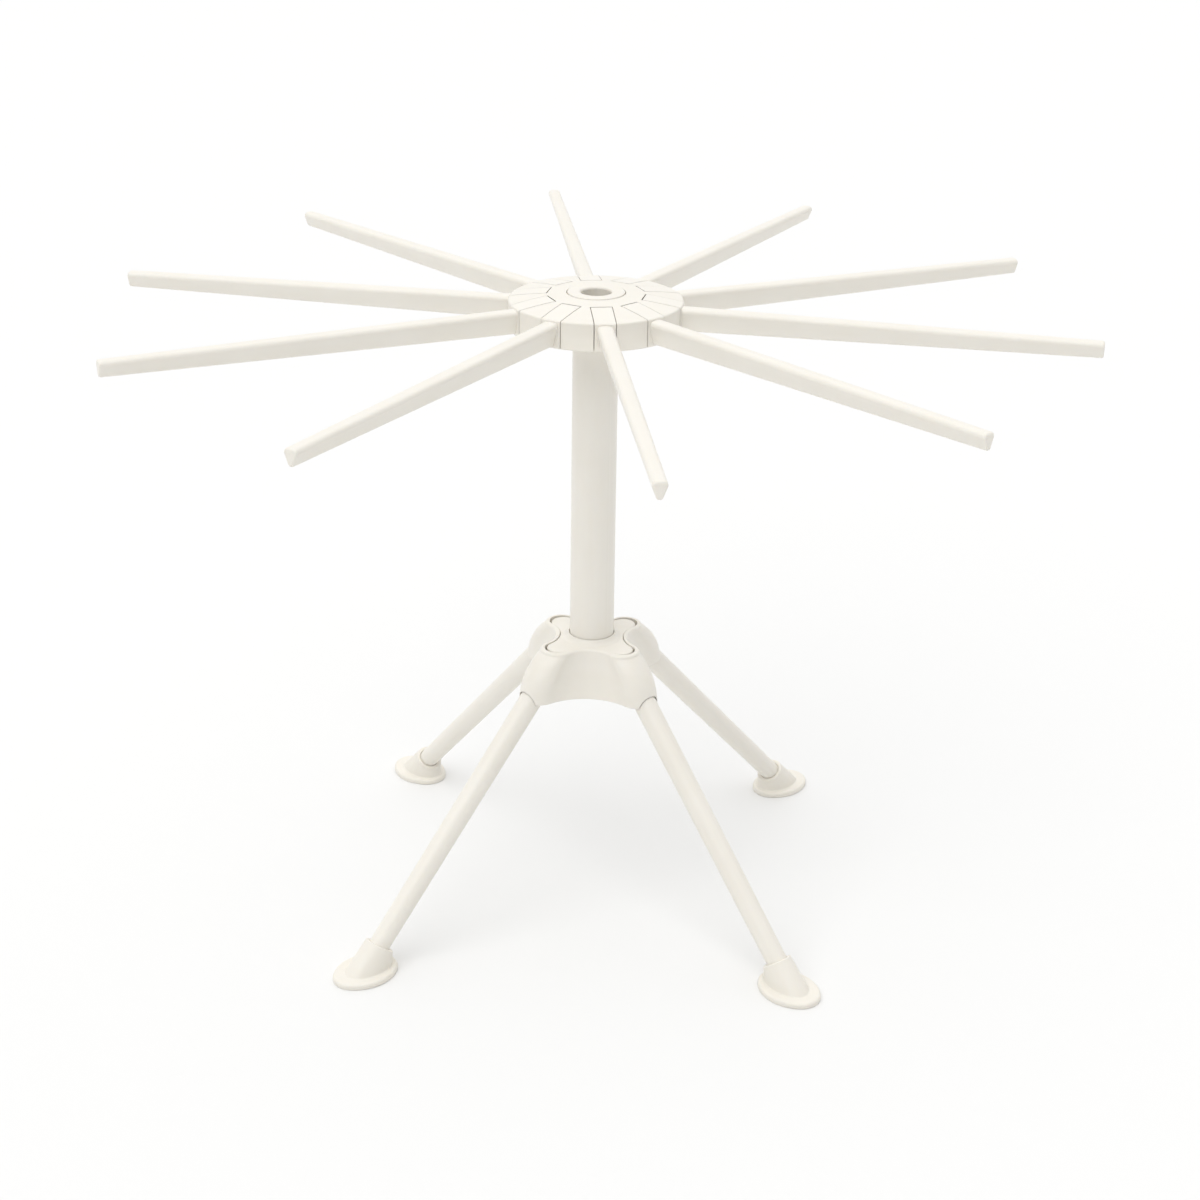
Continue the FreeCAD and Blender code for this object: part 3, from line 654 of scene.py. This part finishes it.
@dataclass
class Column:
    """The tube post, the four-lobed base and the screw that joins them."""

    screw: CrossScrew = field(default_factory=lambda: CrossScrew(
        head_radius=4 * MM, head_height=2.4 * MM, shank_radius=2 * MM, length=9.9 * MM,
        head=ScrewHead.PAN, rim_round=0.6 * MM, recess_depth_share=0.5))

    def dress(self) -> None:
        """Gives the post and the base their finishes."""
        upright = Lie(turn=Euler((0, QUARTER_TURN, 0)))
        dress("post", IVORY_ROD.material("post_plastic", upright))
        for node in ("base_housing", "base_cover"):
            dress(node, IVORY_SHELL.material(f"{node}_plastic"))
        dress("leg_pins", PIN_STEEL.material("leg_pin_steel"))

    def build_screw(self) -> bpy.types.Object:
        """Models the screw under the base.

        Returns:
            The screw.
        """
        screw = self.screw.build("post_cross_screw")
        screw.data.transform(Matrix.Translation((0, 0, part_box("post_screw")[0].z)))
        screw.data.materials.append(SCREW_STEEL.material("post_screw_steel"))
        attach(screw, "frame")
        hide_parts("post_screw")
        return screw


@dataclass
class Legs:
    """The four legs that fold in, with their feet."""

    count: int = 4
    splay: float = math.radians(43.5)
    sole_marks: tuple[float, float] = (122 * MM, 134 * MM)
    parting: PartingLine = PartingLine(ridge=0.025 * MM)

    def dress(self) -> None:
        """Gives each leg and foot its plastic, with the flow along the leg and marks under the foot."""
        for number in range(1, self.count + 1):
            joint = f"leg_{number}_fold"
            azimuth = azimuth_of(joint)
            lie = Lie(hinge(joint), Euler((0, QUARTER_TURN - self.splay, azimuth)))
            marks = [EjectorMark(around(azimuth, reach)) for reach in self.sole_marks]
            dress(f"leg_{number}", IVORY_ROD.material(f"leg_{number}_plastic", lie, self.parting))
            dress(f"foot_{number}", IVORY_FOOT.material(f"foot_{number}_plastic", lie, marks=marks))


@dataclass
class Studio:
    """A pale floor, a soft sky with a broad lamp, and the camera."""

    floor_span: float = 40.0
    floor_tone: Colour = (0.85, 0.85, 0.845)
    sky_front: float = 0.11
    sky_back: float = 1.13
    sky_rise: float = math.radians(70)
    sky_fade: Band = (-0.2, 1.0)
    haze: float = 1.0
    haze_fade: Band = (0.06, 0.14)
    sun_strength: float = 1.20
    sun_angle: float = math.radians(60)
    sun_lean: float = math.radians(33)
    sun_azimuth: float = math.radians(-28)
    camera_place: Vector = Vector((45.7, -892.0, 533.9)) * MM
    camera_yaw: float = math.radians(2.763)
    camera_drop: float = math.radians(20.515)
    camera_roll: float = math.radians(0.816)
    camera_lens: float = 66.03
    camera_sensor: float = 36.0
    camera_shift: float = -0.1083
    camera_near: float = 10 * MM

    def build(self) -> None:
        """Sets up the floor, the light and the camera."""
        bpy.context.scene.view_settings.view_transform = "Standard"
        self.lay_floor()
        self.light()
        self.place_camera()

    def lay_floor(self) -> None:
        """Lays the pale floor under the feet."""
        bpy.ops.object.select_all(action="DESELECT")
        bpy.ops.mesh.primitive_plane_add(size=self.floor_span, location=(0, 0, 0))
        floor = bpy.context.object
        floor.name = "floor"
        tree = FinishTree("floor_paper", {"Base Color": (*self.floor_tone, 1), "Specular IOR Level": 0.0,
                                          "Roughness": 1.0})
        floor.data.materials.append(tree.material)

    def light(self) -> None:
        """Lights the rack with a sky and a broad lamp.

        The sky is brightest overhead and a little behind, and turns to white haze at the horizon. The lamp
        stands high at the front left.
        """
        world = bpy.data.worlds.new("soft_sky")
        world.use_nodes = True
        sheet = NodeSheet(world.node_tree)
        bright_side = Vector((0, math.cos(self.sky_rise), math.sin(self.sky_rise)))
        direction = sheet.node("ShaderNodeTexCoord", output="Generated")
        facing = sheet.vector_maths("DOT_PRODUCT", direction, bright_side, output="Value")
        sky = sheet.ease(facing, *self.sky_fade) * (self.sky_back - self.sky_front) + self.sky_front
        above_horizon = sheet.ease(sheet.part(direction, "Z"), *self.haze_fade)
        strength = (sky - self.haze) * above_horizon + self.haze
        glow = sheet.node("ShaderNodeBackground", sockets={"Color": (1, 1, 1, 1), "Strength": strength})
        sheet.node("ShaderNodeOutputWorld", sockets={"Surface": glow})
        bpy.context.scene.world = world
        bpy.ops.object.light_add(type="SUN", rotation=(self.sun_lean, 0, self.sun_azimuth))
        lamp = bpy.context.object
        lamp.name = "soft_lamp"
        lamp.data.energy = self.sun_strength
        lamp.data.angle = self.sun_angle

    def place_camera(self) -> None:
        """Sets the camera where the rack is seen as in the picture."""
        bpy.ops.object.camera_add()
        camera = bpy.context.object
        camera.name = "camera"
        aim = (Matrix.Rotation(self.camera_yaw, 4, "Z")
               @ Matrix.Rotation(QUARTER_TURN - self.camera_drop, 4, "X")
               @ Matrix.Rotation(self.camera_roll, 4, "Z"))
        camera.matrix_world = Matrix.Translation(self.camera_place) @ aim
        camera.data.lens = self.camera_lens
        camera.data.sensor_width = self.camera_sensor
        camera.data.shift_y = self.camera_shift
        camera.data.clip_start = self.camera_near
        bpy.context.scene.camera = camera


def main() -> None:
    """Dresses the rack, builds its screws and sets up the studio."""
    logging.basicConfig(level=logging.INFO, format="%(name)s: %(message)s")
    hub = Hub()
    column = Column()
    for group in (hub, Arms(), column, Legs()):
        group.dress()
    for piece in (hub.build_screws(), column.build_screw()):
        log.info("built %s with %d faces", piece.name, len(piece.data.polygons))
    Studio().build()


if __name__ == "__main__":
    main()
